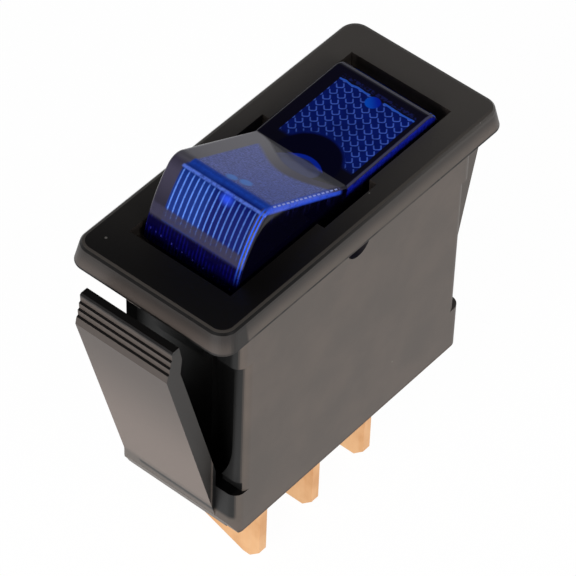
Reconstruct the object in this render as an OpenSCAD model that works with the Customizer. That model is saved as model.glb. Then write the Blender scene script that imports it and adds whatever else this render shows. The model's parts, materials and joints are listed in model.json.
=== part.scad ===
// Illuminated rocker switch for a rectangular panel cut-out, with three blade terminals.
// Origin: middle of the housing, in the face that seats on the panel. +Z out of the panel,
// +X along the switch.
// The rocker stands with its -X end raised, which closes the contact at the -X end.

/* [Bezel] */
// Length of the bezel at its shoulder
bezel_l = 31.0; // [29.5:0.1:34]
// Width of the bezel at its shoulder
bezel_w = 14.2; // [13.6:0.1:17]
// Thickness of the bezel
bezel_t = 1.85; // [1.4:0.05:2.6]
// Corner radius of the bezel, seen from the front
bezel_corner = 1.4; // [0.8:0.1:3]
// Round along the front edge of the bezel
bezel_edge = 0.43; // [0.2:0.01:0.8]
// How much wider each side of the bezel is at the panel than at its shoulder
bezel_draft = 0.25; // [0:0.05:0.4]
// How far the bezel stands off the middle of the housing, towards -X
bezel_shift = 0.18; // [0:0.02:0.4]

/* [Housing] */
// Length of the housing behind the panel
body_l = 26.16; // [25.6:0.01:27.5]
// How far the outside of the housing stands off its middle, towards +X
body_shift = 0.16; // [0:0.02:0.3]
// Width of the housing behind the panel, under the bezel
body_w = 12.55; // [12.4:0.05:13.4]
// How much closer to the middle than the -Y side the +Y side stands
body_side_in = 0.15; // [0:0.05:0.3]
// Draft of the +Y side from the bezel to the foot of the housing
body_draft = 0.4; // [0:0.05:0.6]
// Depth of the housing behind the panel
body_depth = 22.3; // [21.5:0.1:26]
// Radius of the two upright corners of the housing on the -Y side
body_corner = 0.9; // [0.4:0.1:1.3]
// Radius of the two upright corners on the +Y side
back_corner = 2.0; // [0.4:0.1:2.2]
// Thickness of the floor that holds the terminals
floor_t = 2.5; // [1.6:0.1:3]
// Height of the full-length collar under the bezel
collar_h = 4.4; // [3.6:0.1:4.6]
// Width of the recess in each end of the collar, behind the clip
collar_recess_w = 7.2; // [6:0.1:8.6]
// How far that recess stands off the middle, towards -Y
collar_recess_in = 0.6; // [0:0.1:0.8]
// How far the end walls stand back from the collar
end_setback = 0.58; // [0.3:0.02:0.7]
// Height of the full-length block at the foot of the housing
block_h = 4.25; // [3.4:0.05:5]
// Thickness of the end walls behind the pockets
pocket_wall = 1.0; // [0.7:0.1:1.4]
// Width of the pocket that each clip springs into
pocket_w = 10.6; // [9.2:0.1:10.8]
// Height of the slot between an end pocket and the block
slot_h = 0.9; // [0.5:0.1:1.4]
// Width of the stiffening rib in each pocket
pocket_rib_w = 4.8; // [2:0.1:6]
// How far the stiffening rib stands out of the pocket floor
pocket_rib_t = 0.5; // [0.2:0.1:0.9]
// Height of the lug at the top of each rib
pocket_lug_h = 1.3; // [0.8:0.1:2]
// Bevel along the bottom edges of the two ends
foot_cut = 0.45; // [0.2:0.05:0.6]
// Height of the lip below the bottom at the two ends
foot_lip_h = 0.6; // [0.3:0.1:1]
// Thickness of the lips
foot_lip_t = 1.2; // [0.8:0.1:1.4]
// Room between the contact lever's end and the end wall
chamber_gap = 1.0; // [0.8:0.1:1.1]
// Length of the lead-in notches for the pivot pins in the window
notch_l = 5.8; // [4:0.1:7]
// Depth of the lead-in notches into the sides of the window
notch_t = 0.65; // [0.3:0.05:0.8]

/* [Clips] */
// Width of the two spring clips
clip_w = 8.52; // [6:0.02:9]
// How far the widest line of the -X clip stands out from the housing
clip_spread = 5.45; // [4.6:0.05:6]
// How far the widest line of the +X clip stands out, which is sprung in further
far_clip_spread = 4.0; // [3.8:0.05:6]
// Depth of that widest line below the panel seat
clip_kink_z = 2.4; // [1.6:0.1:3.2]
// Thickness of a clip arm
clip_t = 1.37; // [1:0.01:1.6]
// Thickness of a clip at its free end
clip_tip_t = 0.74; // [0.5:0.02:0.9]
// Height of a clip's root above the foot of the housing
clip_foot = 0.9; // [0.7:0.1:1.5]
// Number of grip ridges across the face of a clip
clip_ridges = 3; // [1:1:4]

/* [Rocker] */
// Width of the rocker
rocker_w = 8.7; // [8.4:0.1:8.9]
// Distance from the pivot to the curved ends of the rocker
rocker_r = 11.5; // [11.1:0.05:11.7]
// Height of the middle of the rocker's face above the pivot
valley_rise = 3.9; // [3.4:0.1:4.6]
// Slope of each half of the rocker's face, with the rocker level
face_slope = 14; // [10:0.5:17]
// Round along the two raised edges of the rocker
ridge_r = 1.3; // [0.5:0.05:1.5]
// Bevel along the long edges of the rocker
rocker_bevel = 0.32; // [0.1:0.02:0.4]
// Thickness of the rocker's face
face_t = 1.0; // [0.7:0.05:1.3]
// Thickness of the rocker's curved end walls
end_t = 1.1; // [0.8:0.05:1.3]
// Thickness of the rocker's side walls
side_t = 0.6; // [0.5:0.05:0.7]
// How far the end walls reach below the pivot, with the rocker level
end_foot = 0.3; // [0:0.1:0.6]
// How far the side walls reach below the pivot
side_foot = 2.1; // [1.7:0.1:2.4]
// Number of upright flutes inside each end wall
flutes = 15; // [7:2:17]
// Depth of the flutes
flute_t = 0.28; // [0.15:0.01:0.4]
// Gap between the rocker's sides and the window
side_gap = 0.32; // [0.2:0.02:0.4]
// Gap between the rocker's ends and the window, with the rocker level
end_gap = 0.72; // [0.6:0.01:0.8]

/* [Pivot] */
// Depth of the pivot axis below the panel seat
pivot_drop = 1.35; // [1.3:0.01:1.6]
// Radius of the two pivot pins moulded on the rocker
pivot_r = 1.2; // [0.9:0.05:1.25]
// Clearance round the pivot pins
pivot_gap = 0.05; // [0.02:0.01:0.1]
// Length of each pivot pin
pivot_l = 1.5; // [1:0.1:1.7]
// Tilt of the rocker from level, in either position
rocker_tilt = 12.85; // [10:0.05:14]

/* [Plunger] */
// Radius of the boss under the rocker's face
boss_r = 3.6; // [3:0.1:3.6]
// Radius of the guide tube below the boss
tube_r = 2.5; // [2.2:0.05:2.6]
// How far the guide tube reaches below the pivot
tube_reach = 6.0; // [5.2:0.1:6.4]
// Radius of the plunger
plunger_r = 1.47; // [1.2:0.01:1.55]
// Clearance round the plunger in its tube
plunger_gap = 0.08; // [0.04:0.01:0.1]
// Distance from the pivot to the plunger's tip
plunger_reach = 11.0; // [10.4:0.1:11.6]
// Length of the plunger
plunger_l = 8.6; // [7.8:0.1:9]
// Radius of the plunger's rounded tip
tip_r = 1.3; // [1:0.05:1.4]
// Clearance between the plunger's tip and the contact lever
tip_gap = 0.05; // [0.03:0.01:0.1]

/* [Contact lever] */
// Thickness of the contact lever
lever_t = 0.7; // [0.5:0.05:0.8]
// Width of the contact lever's arms
lever_w = 5.6; // [4.6:0.1:6]
// Width of the waist where the lever sits on its saddle
waist_w = 3.4; // [3:0.1:3.6]
// Length of the arm that carries the moving contact
contact_arm = 8.9; // [8.7:0.05:9.1]
// Length of the other arm
free_arm = 5.4; // [5:0.1:5.6]
// Turn of the lever for each degree of the rocker's turn
lever_ratio = 0.7; // [0.5:0.05:0.8]
// Running clearance between the lever and its saddle
saddle_gap = 0.04; // [0.02:0.01:0.08]

/* [Contacts] */
// Distance of the contact pair from the middle of the switch
contact_x = 7.6; // [7.5:0.05:7.7]
// Radius of the contact heads
contact_r = 1.25; // [1:0.05:1.3]
// Height of the contact heads
contact_h = 0.6; // [0.4:0.05:0.8]
// Gap left between the closed contacts
contact_gap = 0.08; // [0.04:0.01:0.15]

/* [Terminals] */
// Width of the terminal blades
blade_w = 6.3; // [4.8:0.1:6.6]
// Thickness of the terminal blades
blade_t = 0.8; // [0.5:0.05:0.9]
// Length of the blades below the housing
blade_l = 10.85; // [7:0.05:12]
// How much longer each blade is than its neighbour towards +X
blade_step = 0.55; // [0:0.01:0.6]
// Distance between neighbouring blades
blade_pitch = 6.2; // [5.9:0.05:6.3]
// Offset of the row of blades towards +X
blade_row_x = 0.37; // [0.2:0.01:0.6]
// Cut across the two corners of each blade
blade_cut = 0.9; // [0.4:0.1:1.4]
// Rise of the long cut across the +Y half of the supply blade's tip
key_cut = 1.8; // [0.9:0.1:2.4]
// Diameter of the locating hole in each blade
blade_hole = 1.7; // [1.2:0.1:2]
// Clearance round the terminals in the floor
blade_gap = 0.05; // [0.03:0.01:0.1]
// Reach of the arm that the lamp's contact spring stands on, inwards from its blade
lamp_arm_l = 2.7; // [2.4:0.1:3]

/* [Lamp] */
// Radius of the lamp
lamp_r = 1.5; // [1.2:0.05:1.55]
// Distance of the lamp from the middle of the rocker
lamp_x = 6.9; // [6.8:0.05:7]
// Radius of the connecting wires
wire_r = 0.22; // [0.15:0.01:0.25]
// Distance of the lamp's contact spring from the middle of the rocker
spring_x = 6.2; // [6.1:0.05:6.3]
// Radius of the resistor
resistor_r = 0.85; // [0.7:0.05:0.9]
// Length of the resistor
resistor_l = 4.2; // [3.6:0.1:4.3]

/* [Hidden] */
$fn = 48;
eps = 0.01;
column_lap = 0.05;
bend_steps = 6;

// The rocker and its window
pivot_z = -pivot_drop;
window_l = 2 * (rocker_r + end_gap);
window_w = rocker_w + 2 * side_gap;
roof_drop = face_t / cos(face_slope);
inner_w = rocker_w - 2 * side_t;
inner_r = rocker_r - end_t;
flank_x = rocker_r * 0.52;
bore_r = plunger_r + plunger_gap;
boss_foot = side_foot - 0.1;
bore_top = valley_rise - roof_drop - 0.4;

// Lowest point that an end of the rocker reaches, and the ledge that stays below it
end_swing = end_foot * cos(rocker_tilt) + rocker_r * sin(rocker_tilt);
ledge_z = pivot_z - end_swing - 0.5;
ledge_l = 2 * (rocker_r + 0.15);
window_foot = -0.5;
notch_z = 0.3;

// Housing ends
waist_l = body_l - 2 * end_setback;
chamber_l = 2 * (contact_arm + chamber_gap);
pocket_floor = chamber_l / 2 + pocket_wall;
slot_z = block_h - body_depth;
floor_z = floor_t - body_depth;

// The lever rolls over the saddle while the plunger's tip sweeps across it. The tip's centre
// follows nearly a circle in the lever, so the middle of the lever is a dish round that circle.
saddle_reach = plunger_reach + tip_gap + lever_t + saddle_gap / 2;
saddle_z = pivot_z - saddle_reach;
lever_tilt = lever_ratio * rocker_tilt;
tip_c = plunger_reach - tip_r;
tip_side = tip_c * sin(rocker_tilt);
tip_up = saddle_reach - tip_c * cos(rocker_tilt);
track_x = tip_side * cos(lever_tilt) - tip_up * sin(lever_tilt);
track_z = tip_side * sin(lever_tilt) + tip_up * cos(lever_tilt) - (saddle_reach - tip_c);
track_r = (pow(track_x, 2) + pow(track_z, 2)) / (2 * track_z);
dish_r = track_r + tip_r + tip_gap;
dish_z = saddle_reach - tip_c + track_r;
dish_a = asin(track_x / track_r) + 4;
crest_r = 1.0;
dish_mid = dish_r + lever_t / 2;
crest_x = (dish_mid + crest_r) * sin(dish_a);
crest_z = dish_z - (dish_mid + crest_r) * cos(dish_a);
arm_z = crest_z + crest_r;

// The closed contact pair
moving_foot = arm_z - lever_t / 2 - contact_h;
touch_x = -contact_x * cos(lever_tilt) - moving_foot * sin(lever_tilt);
touch_z = saddle_z - contact_x * sin(lever_tilt) + moving_foot * cos(lever_tilt);
shelf_z = touch_z - contact_gap - contact_h;
rivet_r = contact_r * 0.52;
rivet_gap = 0.04;

// Terminals
blade_x = [blade_row_x - blade_pitch, blade_row_x, blade_row_x + blade_pitch];
blade_tip = [for (i = [1, 0, -1]) -body_depth - blade_l - i * blade_step];
shoulder_z = floor_z + 1.6;
horn_w = 0.9;
horn_h = 1.5;
shelf_w = 5.0;
lamp_arm_w = 3.4;
joggle_r = 1.3;
joggle_a = acos(1 - blade_row_x / (2 * joggle_r));
shelf_bend = 0.8;
arm_bend = 0.7;

// The lamp's parts, in the rocker's own upright frame round the pivot
lamp_top = valley_rise - roof_drop + (lamp_x - lamp_r) * tan(face_slope) - 0.2;
lamp_h = 5.3;
lamp_foot = lamp_top - lamp_h;
flange_r = lamp_r + 0.35;
socket_r = flange_r + 0.1;
socket_t = 0.55;
socket_foot = lamp_foot + 0.35;
lead_pitch = 1.27;
lead_z = lamp_foot - 1.0;
lead_slot = 2 * wire_r + 0.3;
wire_bend = 0.45;
wire_sides = 8;
wire_gap = 0.05;
side_run_y = inner_w / 2 - wire_r - 0.5;
side_run_z = -side_foot - wire_r - 0.1;
resistor_x = 4.8;
resistor_y = inner_w / 2 - resistor_r * 1.12 - 0.1;
resistor_z = 1.65;
peg_r = 0.85;
peg_foot = -2.2;
shoulder_r = 1.45;
shoulder_foot = 0.85;
tail_z = shoulder_foot - wire_r - 0.06;
tail_y = peg_r + wire_r + 0.08;

// Springs
spring_sides = 6;
spring_steps = 16;
coil_r = bore_r - 0.45;
coil_wire = 0.2;
coil_top = bore_top - 2 * wire_r - 0.15;
coil_foot = plunger_l - plunger_reach + 0.03;
lamp_coil_r = peg_r + 0.28;
lamp_coil_wire = 0.18;
lamp_coil_top = tail_z - wire_r - 0.03;
lamp_coil_foot = -4.6;

// Lowest point of the lamp spring's foot at rest, which lies on the lamp terminal's arm
arm_top = pivot_z - (spring_x + lamp_coil_r + lamp_coil_wire) * sin(rocker_tilt)
        + lamp_coil_foot * cos(rocker_tilt) - 0.08;

// Draws a side view, given as x and height, to a width across the switch
module across(w) { rotate([90, 0, 0]) linear_extrude(w, center = true) children(); }

// Draws an end view, given as y and height, to a thickness along the switch
module along(t) { rotate([90, 0, 90]) linear_extrude(t, center = true) children(); }

// Upright rectangle with round corners, between two heights
module pillar(l, w, r, low, high) {
    translate([0, 0, low]) linear_extrude(high - low) union() {
        square([l - 2 * r, w], center = true);
        square([l, w - 2 * r], center = true);
        for (x = [-1, 1], y = [-1, 1]) translate([x * (l / 2 - r), y * (w / 2 - r)]) circle(r);
    }
}

// Points of an arc in a side view
function arc(c, r, from, to, steps) =
    [for (i = [0 : steps]) let (a = from + (to - from) * i / steps) c + r * [cos(a), sin(a)]];

// Centre line of a bent strip as [x, z, heading], turned to a closed outline of thickness t
function side_of(line, d) = [for (p = line) [p[0] - d * sin(p[2]), p[1] + d * cos(p[2])]];
function reversed(list) = [for (i = [len(list) - 1 : -1 : 0]) list[i]];
function strip(line, t) = concat(side_of(line, t / 2), reversed(side_of(line, -t / 2)));

// Bend of a strip's centre line from one heading to the next, turning about c
function bend(c, r, from, to) = let (s = to > from ? 1 : -1)
    [for (i = [0 : bend_steps]) let (h = from + (to - from) * i / bend_steps)
        [c[0] + s * r * sin(h), c[1] - s * r * cos(h), h]];

// Puts a piece drawn round the pivot, with the rocker level, into its place in the switch
module in_rocker() { translate([0, 0, pivot_z]) rotate([0, rocker_tilt, 0]) children(); }

// Puts a piece drawn on the saddle, with the lever level, into its place in the switch
module on_saddle() { translate([0, 0, saddle_z]) rotate([0, -lever_tilt, 0]) children(); }

function unit(v) = v / norm(v);

// Round bar of radius r along a path; ref is a direction that the path never takes
module swept(path, r, sides, ref) {
    last = len(path) - 1;
    rings = [for (i = [0 : last], j = [0 : sides - 1])
        let (t = unit(path[min(i + 1, last)] - path[max(i - 1, 0)]),
             u = unit(cross(t, ref)), v = cross(t, u), a = 360 * j / sides)
        path[i] + r * (cos(a) * u + sin(a) * v)];
    walls = [for (i = [0 : last - 1], j = [0 : sides - 1])
        let (k = (j + 1) % sides, p = i * sides, q = p + sides) [p + k, p + j, q + j, q + k]];
    first_end = [for (j = [0 : sides - 1]) j];
    last_end = [for (j = [sides - 1 : -1 : 0]) last * sides + j];
    polyhedron(rings, concat([first_end], walls, [last_end]), convexity = 10);
}

// Wire through a list of points, with a small bend at each corner
module wire(points) {
    last = len(points) - 1;
    bends = [for (i = [1 : last - 1])
        let (p = points[i], a = unit(points[i - 1] - p), b = unit(points[i + 1] - p))
        each [p + a * wire_bend, p + (a + b) * wire_bend * 0.29, p + b * wire_bend]];
    swept(concat([points[0]], bends, [points[last]]), wire_r, wire_sides, [0.36, 0.8, -0.48]);
}

// Coil spring between two heights, with its end turns closed up
function coil_rise(u, turns) =
    u < 1 ? 0.12 * u : u > turns - 1 ? 1 - 0.12 * (turns - u) : 0.12 + 0.76 * (u - 1) / (turns - 2);
module coil(r, wire, low, high, turns) {
    swept([for (i = [0 : turns * spring_steps])
        let (u = i / spring_steps)
        [r * cos(360 * u), r * sin(360 * u),
         low + wire + (high - low - 2 * wire) * coil_rise(u, turns)]],
        wire, spring_sides, [0, 0, 1]);
}

// Side view of one half of the rocker, about the pivot: face, raised edge and curved end
function half_face(radius, rise, fillet, foot) =
    let (n = rise * cos(face_slope) - fillet,
         a = sqrt(pow(radius - fillet, 2) - n * n),
         c = [a * cos(face_slope) - n * sin(face_slope), a * sin(face_slope) + n * cos(face_slope)],
         turn = atan2(c[1], c[0]))
    concat([[0, rise]],
           arc(c, fillet, 90 + face_slope, turn, bend_steps),
           arc([0, 0], radius, turn, asin(foot / radius), 2 * bend_steps));

// Side view of the space under the rocker's face, for a given share of the walls
module under_face(share) {
    outline = half_face(rocker_r - share * end_t, valley_rise - share * roof_drop, ridge_r * 0.4, 0);
    for (m = [0, 1]) mirror([m, 0])
        polygon(concat(outline, [[rocker_r - share * end_t, -tube_reach - 1], [0, -tube_reach - 1]]));
}

// Outer shape of the rocker, bevelled along its edges
module rocker_shell() {
    feet = [[flank_x, -side_foot], [0, -side_foot]];
    inset_feet = [[flank_x, -side_foot + rocker_bevel], [0, -side_foot + rocker_bevel]];
    for (m = [0, 1]) mirror([m, 0, 0]) hull() {
        across(rocker_w - 2 * rocker_bevel)
            polygon(concat(half_face(rocker_r, valley_rise, ridge_r, -end_foot), feet));
        across(rocker_w)
            polygon(concat(half_face(rocker_r - rocker_bevel, valley_rise - rocker_bevel,
                                     ridge_r * 0.8, -end_foot), inset_feet));
    }
}

// Upright ribs between the flutes inside an end wall
module flute_ribs() {
    pitch = inner_w / flutes;
    outer = arc([0, 0], inner_r + 0.2, 12, 24, bend_steps);
    inner = arc([0, 0], inner_r - flute_t, 24, 12, bend_steps);
    for (i = [0 : flutes - 2])
        translate([0, -inner_w / 2 + pitch * (i + 1), 0]) across(pitch * 0.4) polygon(concat(outer, inner));
}

module rocker() color([0.04, 0.10, 0.62]) in_rocker() {
    difference() {
        union() {
            difference() {
                rocker_shell();
                across(inner_w) under_face(1);
            }
            intersection() {
                union() {
                    translate([0, 0, -boss_foot]) cylinder(h = boss_foot + rocker_r, r = boss_r);
                    translate([0, 0, -tube_reach]) cylinder(h = tube_reach, r = tube_r);
                    translate([-lamp_x, 0, socket_foot]) cylinder(h = rocker_r, r = socket_r + socket_t);
                    translate([spring_x, 0, shoulder_foot]) cylinder(h = rocker_r, r = shoulder_r);
                    translate([spring_x, 0, peg_foot]) cylinder(h = rocker_r, r = peg_r);
                }
                across(inner_w + side_t) under_face(0.6);
            }
            for (m = [0, 1]) mirror([m, 0, 0]) flute_ribs();
            for (s = [-1, 1]) translate([0, s * (rocker_w / 2 + pivot_l / 2 - 0.2), 0])
                rotate([90, 0, 0]) cylinder(h = pivot_l + 0.4, r = pivot_r, center = true);
        }
        translate([0, 0, -tube_reach - 1]) cylinder(h = tube_reach + 1 + bore_top, r = bore_r);
        translate([-boss_r - 1, -lead_slot / 2, -tube_reach - 1])
            cube([boss_r + 1, lead_slot, tube_reach + 1 + bore_top]);
        translate([-lamp_x, 0, socket_foot - 1]) cylinder(h = lamp_top - socket_foot + 1.1, r = socket_r);
    }
}

// Clip at the +X end, for its spread and the height of its tip. The arm rises from the root to
// its widest line, and the face above that line leans back and carries the grip ridges.
module clip(spread, tip_top) {
    wall = body_l / 2;
    edge = wall + spread;
    slope = spread / (body_depth - clip_foot - clip_kink_z);
    arm_x = clip_t * sqrt(1 + slope * slope);
    inner_foot = -clip_kink_z - (spread - arm_x) / slope;
    lean_back = 0.52;
    ridge_cut = 0.16;
    face_h = clip_kink_z + tip_top - 0.26;
    ridges = [for (i = [1 : clip_ridges], s = [0, 1]) let (part = i / (clip_ridges + 1))
        [edge - lean_back * part - ridge_cut * s, face_h * part - clip_kink_z + 0.1 * s]];
    across(clip_w) polygon(concat(
        [[wall - eps, clip_foot - body_depth], [edge, -clip_kink_z]],
        ridges,
        [[edge - lean_back, tip_top - 0.14], [edge - lean_back - 0.12, tip_top],
         [edge - lean_back - clip_tip_t, tip_top],
         [edge - ridge_cut - arm_x, -clip_kink_z / 2], [edge - arm_x, -clip_kink_z - 0.15],
         [wall, inner_foot], [wall - eps, inner_foot]]));
}

// Pocket in an end wall: straight cheeks that flare towards each other at the foot
module pocket() {
    high = ledge_z - 0.1;
    flare_r = (high - slot_z) * 0.55;
    flare_c = [pocket_w / 2 - flare_r, slot_z + slot_h + flare_r * 0.5];
    half = concat(arc(flare_c, flare_r, -32, 0, bend_steps), [[pocket_w / 2, high], [0, high]]);
    depth = waist_l / 2 - pocket_floor + 0.2;
    translate([pocket_floor + depth / 2, 0, 0]) along(depth) for (m = [0, 1]) mirror([m, 0])
        polygon(concat([[0, slot_z], [half[0][0], slot_z]], half));
}

// Sides that draw in a little from the panel to the shoulder, and the round front edge
module bezel_plate() translate([-bezel_shift, 0, 0]) {
    shoulder = bezel_t - bezel_edge;
    foot_l = bezel_l + 2 * bezel_draft;
    foot_w = bezel_w + 2 * bezel_draft;
    hull() {
        pillar(foot_l, foot_w, bezel_corner, 0, eps);
        pillar(bezel_l, bezel_w, bezel_corner, shoulder - 0.1, shoulder);
    }
    hull() for (i = [0 : 3]) {
        rise = bezel_edge * sin(30 * i);
        inset = bezel_edge * (1 - cos(30 * i));
        pillar(bezel_l - 2 * inset, bezel_w - 2 * inset, bezel_corner - inset,
               shoulder - 0.1, shoulder + rise);
    }
}

// Part of the housing between two heights. Its +Y side draws in towards the foot.
module column(l, low, high) hull()
    for (z = [low, high - eps], x = [-1, 1]) {
        back_y = body_w / 2 - body_side_in + min(z, 0) * body_draft / body_depth;
        translate([x * (l / 2 - body_corner), body_corner - body_w / 2, z])
            cylinder(h = eps, r = body_corner);
        translate([x * (l / 2 - back_corner), back_y - back_corner, z])
            cylinder(h = eps, r = back_corner);
    }

// Lip below the bottom at the +X end, in line with the bevel of the foot
module foot_lip() {
    face = body_l / 2 - foot_cut;
    slope = foot_cut / clip_foot;
    across(body_w - 2 * back_corner + 1) polygon([
        [face + 0.1 * slope, 0.1 - body_depth], [face - foot_lip_h * slope, -body_depth - foot_lip_h],
        [face - foot_lip_t, -body_depth - foot_lip_h], [face - foot_lip_t, 0.1 - body_depth]]);
}

module housing() color([0.09, 0.09, 0.09]) difference() {
    union() {
        bezel_plate();
        translate([body_shift, 0, 0]) {
            column(body_l, -collar_h, 0.5);
            column(waist_l, slot_z - column_lap, -collar_h + eps);
            column(body_l, -body_depth, slot_z);
            clip(far_clip_spread, -0.3);
            mirror([1, 0, 0]) clip(clip_spread, 0.26);
            for (m = [0, 1]) mirror([m, 0, 0]) foot_lip();
        }
    }
    // Window and the three steps of the hollow
    translate([-window_l / 2, -window_w / 2, window_foot])
        cube([window_l, window_w, bezel_t + 1]);
    translate([-ledge_l / 2, -window_w / 2, ledge_z])
        cube([ledge_l, window_w, bezel_t - ledge_z]);
    translate([-chamber_l / 2, -window_w / 2, floor_z])
        cube([chamber_l, window_w, bezel_t - floor_z]);
    // Pivot holes
    translate([0, 0, pivot_z]) rotate([90, 0, 0])
        cylinder(h = body_w + 2, r = pivot_r + pivot_gap, center = true);
    // End pockets, with their ribs and lugs left standing, and the slots below the cheeks
    translate([body_shift, 0, 0]) for (m = [0, 1]) mirror([m, 0, 0]) {
        difference() {
            pocket();
            translate([0, -pocket_rib_w / 2, slot_z])
                cube([pocket_floor + pocket_rib_t, pocket_rib_w, body_depth]);
            translate([0, -pocket_rib_w / 2, ledge_z - 0.1 - pocket_lug_h])
                cube([waist_l / 2 - 0.1, pocket_rib_w, body_depth]);
        }
        translate([waist_l / 2 - 0.3, -body_w / 2 - 1, slot_z])
            cube([0.4, body_w + 2, slot_h]);
        // Recess in the collar behind the clip, and the bevel of the foot
        translate([waist_l / 2, -collar_recess_w / 2 - collar_recess_in, -collar_h - 1])
            cube([end_setback + 1, collar_recess_w, collar_h + 1 + window_foot]);
        across(body_w + 2) polygon([[body_l / 2 + 1, clip_foot - body_depth - eps],
                                    [body_l / 2, clip_foot - body_depth - eps],
                                    [body_l / 2 - foot_cut, -body_depth],
                                    [body_l / 2 + 1, -body_depth]]);
    }
    // Lead-in notches for the pivot pins
    translate([-notch_l / 2, -window_w / 2 - notch_t, notch_z])
        cube([notch_l, window_w + 2 * notch_t, bezel_t]);
    // Terminal slots
    for (x = blade_x) translate([x - blade_t / 2 - blade_gap, -blade_w / 2 - blade_gap, -body_depth - 1])
        cube([blade_t + 2 * blade_gap, blade_w + 2 * blade_gap, floor_t + 2]);
}

module plunger() color([0.85, 0.68, 0.35]) in_rocker() {
    translate([0, 0, -tip_c]) cylinder(h = tip_c + plunger_l - plunger_reach, r = plunger_r);
    translate([0, 0, -tip_c]) intersection() {
        sphere(tip_r);
        translate([0, 0, -tip_r]) cylinder(h = tip_r, r = tip_r);
    }
}

module plunger_spring() color("silver") in_rocker()
    coil(coil_r, coil_wire, coil_foot, coil_top, 6);

// Half of the lever's centre line: dish, crest and straight arm
function lever_half(l) = concat(
    [for (i = [0 : 2 * bend_steps]) let (a = dish_a * i / (2 * bend_steps))
        [dish_mid * sin(a), dish_z - dish_mid * cos(a), a]],
    bend([crest_x, crest_z], crest_r, dish_a, 0),
    [[l, arm_z, 0]]);

module contact_lever() color([0.80, 0.50, 0.28]) on_saddle() difference() {
    contact_half = [for (p = reversed(lever_half(contact_arm))) [-p[0], p[1], -p[2]]];
    across(lever_w) polygon(strip(concat(contact_half, lever_half(free_arm)), lever_t));
    for (s = [-1, 1]) translate([-1.2, s * waist_w / 2 - (s < 0 ? lever_w : 0), -1])
        cube([2.4, lever_w, dish_z]);
    translate([-contact_x, 0, arm_z - lever_t]) cylinder(h = 2 * lever_t, r = rivet_r + rivet_gap);
}

// Riveted contact: a crowned head, its shank through a strip and the upset tail
module rivet(t) {
    intersection() {
        cylinder(h = contact_h, r = contact_r);
        translate([0, 0, contact_h - 3 * contact_r]) sphere(3 * contact_r, $fn = 96);
    }
    translate([0, 0, -t - 0.1]) cylinder(h = t + 0.2, r = rivet_r);
    translate([0, 0, -t - 0.3]) cylinder(h = 0.28, r = rivet_r + 0.3);
}

module moving_contact() color([0.86, 0.86, 0.84]) on_saddle()
    translate([-contact_x, 0, arm_z - lever_t / 2]) mirror([0, 0, 1]) rivet(lever_t);

module fixed_contact() color([0.86, 0.86, 0.84])
    translate([touch_x, 0, shelf_z]) rivet(blade_t);

// Blade below the housing and the width above the floor, as an end view. One blade is keyed by
// a long cut across half of its tip.
module terminal_outline(tip, w, top, keyed) {
    polygon([[-blade_w / 2, tip + blade_cut], [-blade_w / 2 + blade_cut, tip],
             [keyed ? -blade_w / 4 : blade_w / 2 - blade_cut, tip],
             [blade_w / 2, tip + (keyed ? key_cut : blade_cut)],
             [blade_w / 2, shoulder_z], [w / 2, shoulder_z], [w / 2, top],
             [-w / 2, top], [-w / 2, shoulder_z], [-blade_w / 2, shoulder_z]]);
}

// Bent strip cut to an end view, with the locating hole in blade number i
module terminal(i, line, w, top) difference() {
    intersection() {
        across(blade_w + 1) polygon(strip(concat([[blade_x[i], blade_tip[i], 90]], line), blade_t));
        along(4 * contact_arm) terminal_outline(blade_tip[i], w, top, i == 0);
    }
    translate([blade_x[i], 0, blade_tip[i] + blade_l * 0.4]) rotate([0, 90, 0])
        cylinder(h = 4 * blade_t, d = blade_hole, center = true);
}

module supply_terminal() color([0.84, 0.62, 0.38]) {
    x = blade_x[0];
    z = shelf_z - blade_t / 2;
    difference() {
        terminal(0, concat(bend([x - shelf_bend, z - shelf_bend], shelf_bend, 90, 180),
                           [[touch_x - contact_r, z, 180]]), shelf_w, shelf_z + 1);
        translate([touch_x, 0, z - blade_t]) cylinder(h = 2 * blade_t, r = rivet_r + rivet_gap);
    }
}

module common_terminal() color([0.84, 0.62, 0.38]) {
    x = blade_x[1];
    joggle_z = floor_z + 0.6;
    side = joggle_r * sin(joggle_a);
    top = saddle_z - saddle_gap / 2;
    edge = blade_t / 2;
    difference() {
        terminal(1, concat(bend([x - joggle_r, joggle_z], joggle_r, 90, 90 + joggle_a),
                           bend([joggle_r, joggle_z + 2 * side], joggle_r, 90 + joggle_a, 90),
                           [[0, saddle_z + horn_h, 90]]),
                 waist_w + 2 * horn_w + 0.6, saddle_z + horn_h);
        // Seat between the two horns, rounded where the lever rolls
        difference() {
            translate([-2, -waist_w / 2 - 0.3, top - edge]) cube([4, waist_w + 0.6, horn_h + 1]);
            translate([0, 0, top - edge]) rotate([90, 0, 0])
                cylinder(h = blade_w, r = edge, center = true);
        }
    }
}

module lamp_terminal() color([0.84, 0.62, 0.38]) {
    x = blade_x[2];
    z = arm_top - blade_t / 2;
    terminal(2, concat(bend([x - arm_bend, z - arm_bend], arm_bend, 90, 180),
                       [[x - blade_t / 2 - lamp_arm_l, z, 180]]), lamp_arm_w, arm_top + 1);
}

module lamp() color([0.75, 0.85, 1.0]) in_rocker() translate([-lamp_x, 0, 0]) {
    translate([0, 0, lamp_foot]) cylinder(h = 1.0, r = flange_r);
    translate([0, 0, lamp_foot]) cylinder(h = lamp_h - lamp_r, r = lamp_r);
    translate([0, 0, lamp_top - lamp_r]) intersection() {
        sphere(lamp_r);
        cylinder(h = lamp_r, r = lamp_r);
    }
}

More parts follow.
